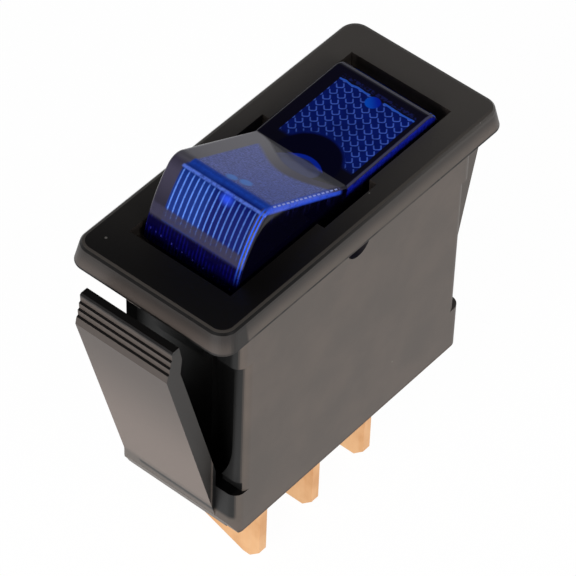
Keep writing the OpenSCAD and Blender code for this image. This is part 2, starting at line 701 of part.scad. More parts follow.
// From the lamp, up the slot of the guide tube and over the top of the plunger's spring
module lamp_lead_spring() color("silver") in_rocker() {
    slot_x = (boss_r + bore_r) / 2;
    wire([[-lamp_x, -lead_pitch, lamp_foot - wire_gap], [-lamp_x, -lead_pitch, lead_z],
          [-boss_r - 1, 0, lead_z], [-slot_x, 0, lead_z],
          [-slot_x, 0, bore_top - wire_r - 0.06], [coil_r, 0, bore_top - wire_r - 0.06]]);
}

// From the lamp, along one side below the boss, to the resistor
module lamp_lead_resistor() color("silver") in_rocker()
    wire([[-lamp_x, lead_pitch, lamp_foot - wire_gap], [-lamp_x, lead_pitch, side_run_z],
          [-lamp_x + 1, side_run_y, side_run_z], [resistor_x - 1, side_run_y, side_run_z],
          [resistor_x - 0.6, resistor_y, resistor_z], [resistor_x - wire_gap, resistor_y, resistor_z]]);

module lamp_resistor() color([0.82, 0.72, 0.52]) in_rocker()
    translate([resistor_x, resistor_y, resistor_z]) rotate([0, 90, 0]) {
        cylinder(h = resistor_l, r = resistor_r);
        for (z = [0, resistor_l - 1]) translate([0, 0, z]) cylinder(h = 1, r = resistor_r * 1.12);
    }

// From the resistor to the seat of the lamp's contact spring
module resistor_tail() color("silver") in_rocker() {
    far = resistor_x + resistor_l + wire_gap + wire_bend + 0.02;
    wire([[resistor_x + resistor_l + wire_gap, resistor_y, resistor_z], [far, resistor_y, resistor_z],
          [far, resistor_y, tail_z], [spring_x + shoulder_r + 0.6, tail_y, tail_z],
          [spring_x - 0.4, tail_y, tail_z]]);
}

module lamp_spring() color("silver") in_rocker() translate([spring_x, 0, 0])
    coil(lamp_coil_r, lamp_coil_wire, lamp_coil_foot, lamp_coil_top, 7);

housing();
rocker();
plunger();
plunger_spring();
contact_lever();
moving_contact();
fixed_contact();
supply_terminal();
common_terminal();
lamp_terminal();
lamp();
lamp_lead_spring();
lamp_lead_resistor();
lamp_resistor();
resistor_tail();
lamp_spring();
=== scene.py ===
# %% [markdown]
# # Illuminated rocker switch
# A snap-in switch for a panel: a black moulded housing with a spring clip at each end, a clear
# blue rocker that glows from a lamp inside it, and three metal blades below. The solids come
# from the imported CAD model, which loads first and is never moved. This notebook gives every
# solid its finish, and swaps the rocker for a finer one whose edges are truly round.

# %% load the solids
import bmesh
import bpy
import json
import math
import numpy as np
from mathutils import Matrix, Vector


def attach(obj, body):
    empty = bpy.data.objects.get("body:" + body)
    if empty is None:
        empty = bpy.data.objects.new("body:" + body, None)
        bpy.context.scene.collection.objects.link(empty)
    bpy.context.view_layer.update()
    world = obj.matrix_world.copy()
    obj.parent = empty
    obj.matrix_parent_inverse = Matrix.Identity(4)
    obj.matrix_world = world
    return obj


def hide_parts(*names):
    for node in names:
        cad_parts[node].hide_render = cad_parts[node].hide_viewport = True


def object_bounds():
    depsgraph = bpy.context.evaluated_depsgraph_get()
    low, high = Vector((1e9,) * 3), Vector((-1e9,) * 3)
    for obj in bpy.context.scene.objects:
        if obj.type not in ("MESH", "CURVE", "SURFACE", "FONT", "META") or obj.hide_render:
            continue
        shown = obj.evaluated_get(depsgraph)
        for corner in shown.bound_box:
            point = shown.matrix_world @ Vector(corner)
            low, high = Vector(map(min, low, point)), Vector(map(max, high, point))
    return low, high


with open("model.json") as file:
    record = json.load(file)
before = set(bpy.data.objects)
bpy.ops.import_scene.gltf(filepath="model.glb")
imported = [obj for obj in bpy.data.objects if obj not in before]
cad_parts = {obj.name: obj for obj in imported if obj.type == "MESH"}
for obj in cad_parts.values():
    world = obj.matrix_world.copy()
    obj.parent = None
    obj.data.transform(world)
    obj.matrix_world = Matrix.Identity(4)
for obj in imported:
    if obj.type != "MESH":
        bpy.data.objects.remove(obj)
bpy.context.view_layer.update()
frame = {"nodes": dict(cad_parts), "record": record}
MM = 0.001
print("solids:", sorted(frame["nodes"]))


# %% [markdown]
# ## The camera
# A camera can be aimed by eye or by a Track To constraint. One that has to match a known view
# is better set by its matrix, as here. Its turn is three unit vectors: where the right of the
# picture points, where its bottom points, and the line of sight. Blender's camera looks along
# its own -Z with +Y up, so the last two are negated. The place and the focal length were found
# by fitting the corners of the bezel, the housing and the blades. The lens is long, as for a
# small thing seen from some way off, so parallel edges stay nearly parallel.

# %% camera
PICTURE_PX, SENSOR_MM, FOCAL_PX = 576, 36.0, 3962.42
CLIP_NEAR_M, CLIP_FAR_M = 0.01, 10.0
image_right = np.array([0.64531, -0.76343, 0.02734])
image_down = np.array([-0.54506, -0.48521, -0.68372])
view_line = np.array([0.53524, 0.42631, -0.72923])
camera_place = np.array([-155.62, -123.92, 201.61]) * MM

camera_data = bpy.data.cameras.new("camera")
camera_data.sensor_width = SENSOR_MM
camera_data.lens = FOCAL_PX * SENSOR_MM / PICTURE_PX
camera_data.clip_start, camera_data.clip_end = CLIP_NEAR_M, CLIP_FAR_M
camera = bpy.data.objects.new("camera", camera_data)
camera_turn = Matrix([image_right, -image_down, -view_line]).transposed().to_4x4()
camera.matrix_world = Matrix.Translation(Vector(camera_place)) @ camera_turn
bpy.context.scene.collection.objects.link(camera)
bpy.context.scene.camera = camera
print("lens", round(camera_data.lens, 1), "mm")


# %% [markdown]
# ## Writing shaders as sums
# A pattern is easier to read as a formula than as a tangle of nodes. A Wire is one value in a
# node tree. Adding, multiplying or comparing wires makes the Math node for it and returns the
# wire that leaves it, so a pattern's formula can be written in one line and still is made of
# plain nodes that anyone can open in the shader editor.

# %% wires
class Wire:
    """One value of a node tree, with arithmetic that adds Math nodes."""

    def __init__(self, tree, socket):
        self.tree, self.socket = tree, socket

    def math(self, kind, *others):
        """Math node of a kind, with this wire in its first socket and the others after it."""
        node = self.tree.nodes.new("ShaderNodeMath")
        node.operation = kind
        for slot, value in zip(node.inputs, (self,) + others):
            plug(value, slot)
        return Wire(self.tree, node.outputs[0])

    def __add__(self, other):
        return self.math("ADD", other)

    def __sub__(self, other):
        return self.math("SUBTRACT", other)

    def __rsub__(self, other):
        return self.math("MULTIPLY", -1.0).math("ADD", other)

    def __mul__(self, other):
        return self.math("MULTIPLY", other)

    def __truediv__(self, other):
        return self.math("DIVIDE", other)

    def __pow__(self, other):
        return self.math("POWER", other)

    def __abs__(self):
        return self.math("ABSOLUTE")

    def fraction(self):
        """The part after the point, which repeats a pattern once per unit."""
        return self.math("FRACT")

    def lowest(self, other):
        """The lower of two values."""
        return self.math("MINIMUM", other)

    def highest(self, other):
        """The higher of two values, which joins two masks."""
        return self.math("MAXIMUM", other)

    def root(self):
        """Square root."""
        return self.math("SQRT")

    def ramp(self, low, high, top=1.0, bottom=0.0):
        """Smooth step: bottom up to low, top from high on, with low and high in either order."""
        node = self.tree.nodes.new("ShaderNodeMapRange")
        node.interpolation_type = "SMOOTHSTEP"
        falls = low > high
        node.inputs["From Min"].default_value = high if falls else low
        node.inputs["From Max"].default_value = low if falls else high
        node.inputs["To Min"].default_value = top if falls else bottom
        node.inputs["To Max"].default_value = bottom if falls else top
        plug(self, node.inputs["Value"])
        return Wire(self.tree, node.outputs["Result"])

    def band(self, middle, half, soft):
        """1 within half of the middle, fading to 0 over soft on both sides."""
        return abs(self - middle).ramp(half + soft, half)

    def mix(self, first, second):
        """Colour that goes from first to second as this value goes from 0 to 1."""
        node = self.tree.nodes.new("ShaderNodeMix")
        node.data_type = "RGBA"
        plug(self, node.inputs["Factor"])
        # by number, because the node repeats its names once for every data type
        plug(first, node.inputs[6])
        plug(second, node.inputs[7])
        return Wire(self.tree, node.outputs[2])


def plug(value, slot):
    """Links a wire to a socket, or sets the socket to a plain number, vector or colour."""
    if isinstance(value, Wire):
        value.tree.links.new(value.socket, slot)
    elif slot.type == "RGBA":
        slot.default_value = (*value, 1.0)
    else:
        slot.default_value = value


def painted(colour, *coats):
    """Colour with coats over it, first to last. A coat is (amount, colour)."""
    for amount, coat in coats:
        colour = amount.mix(colour, coat)
    return colour


def split(tree, vector):
    """The three parts of a vector socket as wires."""
    node = tree.nodes.new("ShaderNodeSeparateXYZ")
    tree.links.new(vector, node.inputs[0])
    return [Wire(tree, part) for part in node.outputs]


def stretched(tree, vector, factors):
    """A vector socket multiplied part by part, to scale it or to stretch a pattern one way."""
    node = tree.nodes.new("ShaderNodeVectorMath")
    node.operation = "MULTIPLY"
    tree.links.new(vector, node.inputs[0])
    node.inputs[1].default_value = factors
    return node.outputs[0]


def noise(tree, vector, scale, detail=2.0, rough=0.5):
    """Soft noise between 0 and 1 at a vector socket. Scale is a number of waves per unit of that
    vector, or the socket that holds it."""
    node = tree.nodes.new("ShaderNodeTexNoise")
    tree.links.new(vector, node.inputs["Vector"])
    plug(scale, node.inputs["Scale"])
    node.inputs["Detail"].default_value = detail
    node.inputs["Roughness"].default_value = rough
    return Wire(tree, node.outputs["Fac"])


def tone(red, green, blue):
    """A colour given as 0 to 255 screen values, turned into the linear values of a socket."""
    parts = np.array([red, green, blue]) / 255.0
    linear = np.where(parts > 0.04045, ((parts + 0.055) / 1.055) ** 2.4, parts / 12.92)
    return tuple(linear.tolist())


print("mid grey is", [round(v, 3) for v in tone(128, 128, 128)])


# %% [markdown]
# ## Effects that several finishes share
# Two effects come back in several materials. Moulded plastic and lacquer have a fine grain, a
# slow cloud of tone and, on the housing, a few specks of dust. Rolled and drawn metal has fine
# streaks and a dull stain. Each effect could be copied into every material. A node group is
# better, because it is built once, and each material places it with its own fineness. A group
# puts out only masks and heights, and the material decides what to do with them.

# %% shared shader groups
GRAIN_FINENESS, STREAK_FINENESS = 7.0, 5.0
SPECKS_PER_MM, SPECK_R = 0.62, 0.085
STREAK_STRETCH = 0.06


def new_group(name, fineness, outputs):
    """Empty shader group with the float input Fineness and float outputs."""
    tree = bpy.data.node_groups.new(name, "ShaderNodeTree")
    item = tree.interface.new_socket(name="Fineness", in_out="INPUT", socket_type="NodeSocketFloat")
    item.default_value = fineness
    for label in outputs:
        tree.interface.new_socket(name=label, in_out="OUTPUT", socket_type="NodeSocketFloat")
    source, sink = tree.nodes.new("NodeGroupInput"), tree.nodes.new("NodeGroupOutput")
    return tree, Wire(tree, source.outputs["Fineness"]), sink.inputs


def object_place(tree):
    """Place on the object in millimetres, as a vector socket."""
    coordinates = tree.nodes.new("ShaderNodeTexCoord")
    return stretched(tree, coordinates.outputs["Object"], (1.0 / MM,) * 3)


def moulded_grain():
    """Group for moulded and dipped surfaces: fine grain, slow cloud of tone, round dust specks
    whose radius follows a noise, so that most cells have none."""
    tree, fineness, outputs = new_group("moulded_grain", GRAIN_FINENESS, ["Height", "Cloud", "Specks"])
    place = object_place(tree)
    plug(noise(tree, place, fineness, 3.0), outputs["Height"])
    plug(noise(tree, place, 0.22, 3.0, 0.6), outputs["Cloud"])
    cells = tree.nodes.new("ShaderNodeTexVoronoi")
    tree.links.new(place, cells.inputs["Vector"])
    cells.inputs["Scale"].default_value = SPECKS_PER_MM
    speck_radius = noise(tree, place, 0.45).ramp(0.52, 0.75, SPECK_R)
    plug(Wire(tree, cells.outputs["Distance"]).math("LESS_THAN", speck_radius), outputs["Specks"])
    return tree


def rolled_streaks():
    """Group for metal: noise drawn out along Z, and a slow stain."""
    tree, fineness, outputs = new_group("rolled_streaks", STREAK_FINENESS, ["Height", "Stain"])
    place = object_place(tree)
    plug(noise(tree, stretched(tree, place, (1.0, 1.0, STREAK_STRETCH)), fineness), outputs["Height"])
    plug(noise(tree, place, 0.35, 3.0, 0.55), outputs["Stain"])
    return tree


grain_group, streak_group = moulded_grain(), rolled_streaks()
print("groups:", [g.name for g in bpy.data.node_groups])


# %% [markdown]
# ## Materials
# Every material starts from one Principled BSDF. Numbers that are the same all over are set on
# its own sockets, and only colours, masks and heights that vary come in by wire.

# %% material helpers
BUMP_DISTANCE = 0.02 * MM


def new_material(name, **constants):
    """Material with one Principled BSDF, whose named sockets get plain numbers."""
    material = bpy.data.materials.new(name)
    material.use_nodes = True
    tree = material.node_tree
    shader = tree.nodes["Principled BSDF"]
    for label, value in constants.items():
        shader.inputs[label.replace("_", " ")].default_value = value
    return material, tree, shader


def place_group(tree, group, fineness):
    """Puts a shared group into a material; its outputs come back as wires by name."""
    node = tree.nodes.new("ShaderNodeGroup")
    node.node_tree = group
    node.inputs["Fineness"].default_value = fineness
    return {socket.name: Wire(tree, socket) for socket in node.outputs}


def bump(tree, shader, height, strength):
    """Feeds a height to the shader's normal."""
    node = tree.nodes.new("ShaderNodeBump")
    node.inputs["Strength"].default_value = strength
    node.inputs["Distance"].default_value = BUMP_DISTANCE
    plug(height, node.inputs["Height"])
    tree.links.new(node.outputs["Normal"], shader.inputs["Normal"])


print("bump distance", round(BUMP_DISTANCE / MM, 3), "mm")


# %% [markdown]
# ### Black nylon
# The housing is one moulding of black nylon. Its sides have the fine matt grain of a spark
# eroded mould, and the front of the bezel is smoother and darker. The lighter sides and the darker
# front are painted light and shade: upright faces catch the bright surroundings, and the front
# faces a dim ceiling. Two materials on separate faces would leave a hard line at the round edge.
# Here one mask, made from the upward part of the surface's own direction, moves the colour and the
# roughness from side to front. Masks from the place on the housing paint shade, near black, on
# what lies deep behind the near clip, where little light comes, and paint light and shade on the
# clip, the bezel's edge and the foot of the side.

# %% housing plastic
CLIP_X, CLIP_TOP_Z, CLIP_FOOT_Z = -13.2, -1.5, -17.0
END_WALL_X, RECESS_Y, COLLAR_FOOT_Z = -12.88, 2.95, -4.5
POCKET_X, POCKET_Y, POCKET_FOOT_Z = -9.4, 5.8, -20.9
SHADOW_LINE_Z, SIDE_FOOT_Z, BEZEL_ROUND_Z = 0.06, -22.2, 1.2


def black_nylon():
    """Nylon whose tone follows the direction and the place of the surface."""
    material, tree, shader = new_material("black_nylon", Specular_IOR_Level=0.35)
    grain = place_group(tree, grain_group, 9.0)
    cloud = grain["Cloud"]
    facing = tree.nodes.new("ShaderNodeTexCoord").outputs["Normal"]
    facing_x, facing_y, facing_z = split(tree, facing)
    x, y, z = split(tree, object_place(tree))
    on_front = facing_z.ramp(0.16, 0.42)

    # front of the bezel: painted reflection of the far surroundings, lighter towards +X and +Y, and a
    # thin painted highlight along its round edge
    front_reflection = (x * 0.05 + y * 0.035).ramp(-0.75, 0.8)
    edge_highlight = facing_z.band(0.93, 0.025, 0.035) * z.ramp(BEZEL_ROUND_Z, BEZEL_ROUND_Z + 0.2)
    front = painted(front_reflection.mix(tone(17, 15, 15), tone(90, 86, 83)),
                    (edge_highlight, tone(84, 79, 75)))

    # sides: painted light and shade. The clip is dark under the bezel and light at its foot, only its
    # outer face is lit, and the bezel's side darkens towards its top
    on_clip = x.ramp(CLIP_X, CLIP_X - 0.3)
    clip = z.ramp(CLIP_TOP_Z, CLIP_FOOT_Z, 1.0, 0.42).mix(tone(10, 9, 9), tone(112, 100, 93))
    side = painted(cloud.ramp(0.3, 0.7).mix(tone(85, 77, 71), tone(94, 84, 77)),
                   (on_clip, clip),
                   (on_clip * facing_x.ramp(-0.5, -0.2), tone(34, 30, 27)),
                   (z.ramp(0.3, 1.4) * 0.75, tone(30, 26, 24)))

    # painted shade: a broken shadow line under the bezel and near black deep behind the near clip;
    # painted light: a warm reflection at the foot of the side and light on the end of the collar
    # beside the recess
    shadow_line = z.band(SHADOW_LINE_Z, 0.07, 0.05) * cloud.ramp(0.35, 0.55, 1.0, 0.35)
    foot_reflection = z.band(SIDE_FOOT_Z, 0.06, 0.08) * facing_y.ramp(-0.5, -0.9)
    under_collar = z.ramp(COLLAR_FOOT_Z + 0.2, COLLAR_FOOT_Z)
    collar_light = (facing_x.ramp(-0.3, -0.6) * z.ramp(COLLAR_FOOT_Z, COLLAR_FOOT_Z + 0.2)
                  * z.ramp(0.0, -0.1) * y.ramp(RECESS_Y + 0.1, RECESS_Y + 0.25)
                  * x.ramp(CLIP_X, CLIP_X + 0.2))
    end_wall = x.ramp(END_WALL_X, END_WALL_X + 0.18).highest(
        x.ramp(CLIP_X - 0.1, CLIP_X) * y.ramp(RECESS_Y, RECESS_Y - 0.2))
    pocket_shade = (end_wall * x.ramp(POCKET_X, POCKET_X - 0.4)
              * z.ramp(POCKET_FOOT_Z, POCKET_FOOT_Z + 0.5) * z.ramp(-0.05, -0.15)
              * abs(y).ramp(POCKET_Y, POCKET_Y - 0.2).highest(facing_x.ramp(-0.6, -0.85))
              * under_collar.highest(y.ramp(RECESS_Y + 0.1, RECESS_Y - 0.05)))

    colour = painted(on_front.mix(side, front),
                     (shadow_line, tone(14, 12, 12)),
                     (foot_reflection * 0.7, tone(70, 52, 42)),
                     (collar_light, tone(150, 138, 130)),
                     (pocket_shade, tone(3, 3, 3)),
                     (grain["Specks"] * 0.35, tone(190, 186, 180)))
    plug(colour, shader.inputs["Base Color"])
    plug(on_front.ramp(0.0, 1.0, 0.34, 0.5), shader.inputs["Roughness"])
    bump(tree, shader, grain["Height"], 0.35)
    return material


housing_black = black_nylon()
print("black nylon has", len(housing_black.node_tree.nodes), "nodes")

# %% [markdown]
# ### Metals
# The blades are punched from rolled brass strip that has dulled to a warm copper tone. Rolling
# leaves streaks along the strip. The lever is redder copper, the rivets silver, the springs
# drawn steel and the wires tinned. One function makes them all from the streak group, because
# they differ only in their two tones, their fineness and their roughness.

# %% metals
METAL_BUMP = 0.25


def metal(name, light, dark, fineness, roughness):
    """Rolled or drawn metal: two tones mixed by the stain, streaks in height and gloss."""
    material, tree, shader = new_material(name, Metallic=1.0)
    streaks = place_group(tree, streak_group, fineness)
    plug(streaks["Stain"].ramp(0.3, 0.75).mix(light, dark), shader.inputs["Base Color"])
    plug(streaks["Height"].ramp(0.2, 0.8, roughness + 0.08, roughness - 0.05),
         shader.inputs["Roughness"])
    bump(tree, shader, streaks["Height"], METAL_BUMP)
    return material


terminal_brass = metal("dull_brass_strip", tone(240, 192, 142), tone(222, 168, 116), 4.0, 0.42)
lever_copper = metal("punched_copper", tone(214, 140, 100), tone(184, 108, 74), 3.0, 0.36)
plunger_brass = metal("turned_brass", tone(222, 184, 112), tone(200, 160, 92), 6.0, 0.28)
contact_silver = metal("satin_silver", tone(226, 226, 222), tone(204, 204, 200), 8.0, 0.3)
spring_steel = metal("drawn_spring_wire", tone(176, 178, 182), tone(150, 152, 156), 12.0, 0.3)
tinned_wire = metal("tinned_wire", tone(206, 207, 208), tone(184, 186, 188), 10.0, 0.34)
print("materials so far:", len(bpy.data.materials))

# %% [markdown]
# ### Lamp and resistor
# The lamp is clear cast resin with a faint blue cast, so it lets most light through. The
# resistor is a ceramic rod dipped in beige lacquer, a little uneven where the lacquer ran.

# %% lamp and resistor
def clear_resin():
    """Clear resin with a slow cloud of blue."""
    material, tree, shader = new_material(
        "clear_lamp_resin", Transmission_Weight=0.85, IOR=1.5, Roughness=0.08)
    grain = place_group(tree, grain_group, 2.0)
    plug(grain["Cloud"].mix(tone(206, 222, 255), tone(178, 200, 250)), shader.inputs["Base Color"])
    return material


def beige_lacquer():
    """Dipped lacquer whose tone and gloss both follow the cloud."""
    material, tree, shader = new_material("resistor_lacquer", Specular_IOR_Level=0.5)
    grain = place_group(tree, grain_group, 3.0)
    beige = grain["Cloud"].ramp(0.35, 0.65).mix(tone(222, 202, 160), tone(204, 180, 136))
    plug(beige, shader.inputs["Base Color"])
    plug(grain["Cloud"].ramp(0.2, 0.8, 0.45, 0.3), shader.inputs["Roughness"])
    bump(tree, shader, grain["Height"], 0.2)
    return material


lamp_resin, resistor_coat = clear_resin(), beige_lacquer()
print("materials so far:", len(bpy.data.materials))

# %% [markdown]
# ### Finishes on the solids
# The CAD record names a material slot for every solid. Each solid keeps its mesh and gets the
# finish of its slot. The rocker's slot is left out here, as its finer pieces come later.

# %% finishes
finishes = {
    "housing_plastic": housing_black,
    "plunger_brass": plunger_brass,
    "spring_steel": spring_steel,
    "lever_copper": lever_copper,
    "contact_silver": contact_silver,
    "terminal_brass": terminal_brass,
    "lamp_resin": lamp_resin,
    "tinned_wire": tinned_wire,
    "resistor_coat": resistor_coat}
finished = [part for part in frame["record"]["subparts"] if part["material_slot"] in finishes]
for part in finished:
    mesh = frame["nodes"][part["node"]].data
    mesh.materials.clear()
    mesh.materials.append(finishes[part["material_slot"]])
print("finished nodes:", len(finished))


# %% [markdown]
# ## The rocker's shape
# The rocker is a shell of clear blue plastic, open below. Seen from the side, each half has a
# straight face that rises from the valley in the middle to a round ridge, and a curved end
# struck from the pivot, so that the end keeps its gap to the window while the rocker tilts. A
# bevelled box could come near it, but its bevel couldn't follow both the ridge and the end. One
# function gives the side view instead. The same function with the wall's thickness taken off
# gives the hollow, so both surfaces have the same grid and a rim of quads joins them.

# %% sizes of the rocker
PIVOT_Z, TILT, SLOPE = -1.35, math.radians(12.85), math.radians(14.0)
REACH, RISE, RIDGE_R, EDGE_R = 11.5, 3.9, 1.3, 0.3
HALF_W, END_FOOT, SIDE_FOOT, FLANK_SHARE = 4.35, 0.3, 2.1, 0.52
WALL_END, WALL_FACE, WALL_SIDE = 1.1, 1.03, 0.6
INNER_RIDGE_R, INNER_EDGE_R = 0.4 * RIDGE_R, 0.12
FACE_STEPS, RIDGE_STEPS, END_STEPS = 84, 14, 30
ACROSS_STEPS, WALL_STEPS, EDGE_STEPS = 88, 8, 7
UP = math.pi / 2
print("rocker", 2 * REACH, "by", 2 * HALF_W, "mm, pivot at", PIVOT_Z)


# %% [markdown]
# ### Side view and shell
# The side view is a line of points with an outward direction at each. The ridge is an arc that
# touches both the face and the end's circle, so its centre is found from the two distances it
# has to keep: its own radius below the face, and reach less radius from the pivot. The shell
# carries that line across the width, and rounds both long edges along the outward directions.

# %% shell of the rocker
def put_in_place(points):
    """Turns points of the level rocker about the pivot to its rest tilt, and into metres."""
    x, y, z = points[..., 0], points[..., 1], points[..., 2]
    turned = np.stack([x * math.cos(TILT) + z * math.sin(TILT), y,
                       -x * math.sin(TILT) + z * math.cos(TILT) + PIVOT_Z], axis=-1)
    return turned * MM


def half_profile(reach, rise, ridge, foot):
    """Side view of one half: the face, an arc of radius ridge that touches both the face and the
    end circle, and the end circle down to the foot. Returns points and outward directions."""
    lift = rise * math.cos(SLOPE) - ridge
    run = math.sqrt((reach - ridge) ** 2 - lift ** 2)
    centre = np.array([run * math.cos(SLOPE) - lift * math.sin(SLOPE),
                       run * math.sin(SLOPE) + lift * math.cos(SLOPE)])
    crown = math.atan2(centre[1], centre[0])
    face_end = centre + ridge * np.array([-math.sin(SLOPE), math.cos(SLOPE)])
    share = np.linspace(0.0, 1.0, FACE_STEPS + 1)[:-1, None]
    face = (1 - share) * np.array([0.0, rise]) + share * face_end
    turn = np.linspace(UP + SLOPE, crown, RIDGE_STEPS + 1)[:-1]
    arc = centre + ridge * np.stack([np.cos(turn), np.sin(turn)], -1)
    sweep = np.linspace(crown, math.asin(-foot / reach), END_STEPS + 1)
    end = reach * np.stack([np.cos(sweep), np.sin(sweep)], -1)
    angles = np.concatenate([np.full(FACE_STEPS, UP + SLOPE), turn, sweep])
    return np.concatenate([face, arc, end]), np.stack([np.cos(angles), np.sin(angles)], -1)


def full_profile(reach, rise, ridge, foot):
    """Both halves in one line, from the foot of the -X end over the valley to the +X foot. At
    the valley the direction is straight up."""
    points, outward = half_profile(reach, rise, ridge, foot)
    outward[0] = [0.0, 1.0]
    mirror = np.array([-1.0, 1.0])
    return (np.concatenate([points[:0:-1] * mirror, points]),
            np.concatenate([outward[:0:-1] * mirror, outward]))


def foot_line(points, foot):
    """Bottom edge of a side wall, one point for each point of the profile: level under the
    middle, then up to the foot of the end wall."""
    x = points[:, 0]
    reach = np.abs(x).max()
    flank = FLANK_SHARE * reach
    rising = np.clip((np.abs(x) - flank) / (reach - flank), 0.0, 1.0)
    return np.stack([x, -foot - (SIDE_FOOT - foot) * (1.0 - rising)], -1)


def shell_grid(reach, rise, ridge, edge, half_w, foot):
    """Surface over the side view: for each point of the profile, up the -Y wall, a quarter round
    of radius edge, across the top, another quarter round and down the +Y wall."""
    points, outward = full_profile(reach, rise, ridge, foot)
    core = points - edge * outward
    bottom = foot_line(core, foot)
    wall = np.linspace(0.0, 1.0, WALL_STEPS + 1)[:-1]
    quarter = np.linspace(UP, 0.0, EDGE_STEPS + 1)
    flat = np.linspace(-1.0, 1.0, ACROSS_STEPS + 1)[1:-1] * (half_w - edge)
    left = bottom[:, None] + wall[None, :, None] * (core - bottom)[:, None]
    left = np.insert(left, 1, -half_w, axis=-1)
    bend = core[:, None] + edge * np.cos(quarter)[None, :, None] * outward[:, None]
    bend = np.insert(bend, 1, -(half_w - edge) - edge * np.sin(quarter), axis=-1)
    top = np.repeat(points[:, None], len(flat), axis=1)
    top = np.insert(top, 1, flat, axis=-1)
    mirror = np.array([1.0, -1.0, 1.0])
    return np.concatenate(
        [left, bend, top, bend[:, ::-1] * mirror, left[:, ::-1] * mirror], axis=1)


outer = shell_grid(REACH, RISE, RIDGE_R, EDGE_R, HALF_W, END_FOOT)
hollow = shell_grid(REACH - WALL_END, RISE - WALL_FACE, INNER_RIDGE_R, INNER_EDGE_R,
                    HALF_W - WALL_SIDE, END_FOOT)
print("rocker grid", outer.shape)


# %% [markdown]
# ### Relief inside the shell
# The inner side of the real rocker carries the pattern that scatters the lamp's light: round
# studs under both faces, and upright V grooves, called flutes, inside both ends. Separate studs
# would have to be joined to the wall. Moving the hollow's own grid points in and out along the
# wall's thickness keeps the shell closed.

# %% flutes and studs
FLUTE_PITCH, FIRST_FLUTE, FLUTE_DEPTH = 0.464, 2.87, 0.28
STUD_PITCH, STUD_R, STUD_HEIGHT, STUD_X, STUD_Y = 0.752, 0.26, 0.16, 2.75, 2.6
FIELD_START, FIELD_END = 1.2, 7.85
RELIEF_Y, RELIEF_HALF = -0.38, 3.3
GROOVE_FOOT, GROOVE_TOP, ROOF_ANGLE, GROOVE_SOFT = 0.17, 0.5, 0.6, 0.03
STUD_SOFT = 0.04
BOSS_R = 3.6


def rise_from(values, start, width):
    """0 up to start, 1 from start + width on, and a straight rise between them."""
    return np.clip((values - start) / width, 0, 1)


def inside_relief(inner, outer):
    """Hollow's grid with its relief: V grooves cut into the end walls, of depth
    FLUTE_DEPTH * |2 frac((y - first) / pitch) - 1|, and round studs that stand out of the roof."""
    x, y, z = inner[..., 0], inner[..., 1], inner[..., 2]
    out = outer - inner
    out /= np.linalg.norm(out, axis=-1, keepdims=True)
    angle = np.arctan2(z, np.abs(x))
    across = np.abs(y - RELIEF_Y) < RELIEF_HALF
    groove = FLUTE_DEPTH * np.abs(2 * np.mod((y - FIRST_FLUTE) / FLUTE_PITCH, 1.0) - 1)
    groove *= across * rise_from(angle, GROOVE_FOOT, GROOVE_SOFT)
    groove *= rise_from(-angle, -GROOVE_TOP, GROOVE_SOFT)
    cell_x = np.mod((np.abs(x) - STUD_X) / STUD_PITCH + 0.5, 1.0) - 0.5
    cell_y = np.mod((y - STUD_Y) / STUD_PITCH + 0.5, 1.0) - 0.5
    from_stud = np.hypot(cell_x, cell_y) * STUD_PITCH
    roof = (np.abs(x) > FIELD_START) & (np.abs(x) < FIELD_END) & (angle > ROOF_ANGLE)
    roof = roof & across & (np.hypot(x, y) > BOSS_R)
    stud = STUD_HEIGHT * roof * rise_from(-from_stud, -STUD_R - STUD_SOFT, 2 * STUD_SOFT)
    return inner + out * (groove - stud)[..., None]


inner = inside_relief(hollow, outer)
print("relief moves the hollow by up to", round(float(np.abs(inner - hollow).max()), 2), "mm")


# %% [markdown]
# ### From grids to closed meshes
# The two grids become one closed mesh. Quads of the outer grid run one way round and those of
# the inner grid the other way, so that all faces point out of the plastic, and a strip of quads
# closes the rim. Each vertex also keeps its place on the level rocker in an attribute, because
# the pattern is moulded into the rocker and is laid out on it before it tilts.

# %% meshes
LATHE_STEPS, SHARP_DEGREES, DOUBLES_M = 48, 35.0, 1e-7


def grid_quads(rows, columns, start=0):
    """Corner numbers of the quads of a grid of rows by columns points."""
    number = np.arange(rows * columns).reshape(rows, columns) + start
    corners = [number[:-1, :-1], number[1:, :-1], number[1:, 1:], number[:-1, 1:]]
    return np.stack(corners, -1).reshape(-1, 4)


def rim_line(rows, columns):
    """Corner numbers once round the edge of a grid."""
    number = np.arange(rows * columns).reshape(rows, columns)
    return np.concatenate([number[0, :-1], number[:-1, -1], number[-1, :0:-1], number[:0:-1, 0]])


def make_piece(name, points, quads, material, level=None):
    """Object from points in metres and quads. Doubles are merged, edges that turn sharply stay
    sharp, and level is each vertex's place on the level rocker."""
    mesh = bpy.data.meshes.new(name)
    mesh.from_pydata(points.reshape(-1, 3), [], quads.tolist())
    if level is not None:
        store = mesh.attributes.new("level_place", "FLOAT_VECTOR", "POINT")
        store.data.foreach_set("vector", level.reshape(-1).astype(np.float32))
    work = bmesh.new()
    work.from_mesh(mesh)
    bmesh.ops.remove_doubles(work, verts=work.verts, dist=DOUBLES_M)
    bmesh.ops.recalc_face_normals(work, faces=work.faces)
    work.to_mesh(mesh)
    work.free()
    mesh.shade_smooth()
    mesh.set_sharp_from_angle(angle=math.radians(SHARP_DEGREES))
    mesh.materials.append(material)
    piece = bpy.data.objects.new(name, mesh)
    bpy.context.scene.collection.objects.link(piece)
    print(name, len(mesh.polygons), "faces")
    return piece


def closed_shell(outer, inner):
    """Points and quads of two like grids joined round their rims."""
    rows, columns = outer.shape[:2]
    count = rows * columns
    edge = rim_line(rows, columns)
    following = np.roll(edge, -1)
    rim = np.stack([edge, following, following + count, edge + count], -1)
    quads = [grid_quads(rows, columns), grid_quads(rows, columns, count)[:, ::-1], rim]
    return np.concatenate([outer.reshape(-1, 3), inner.reshape(-1, 3)]), np.concatenate(quads)


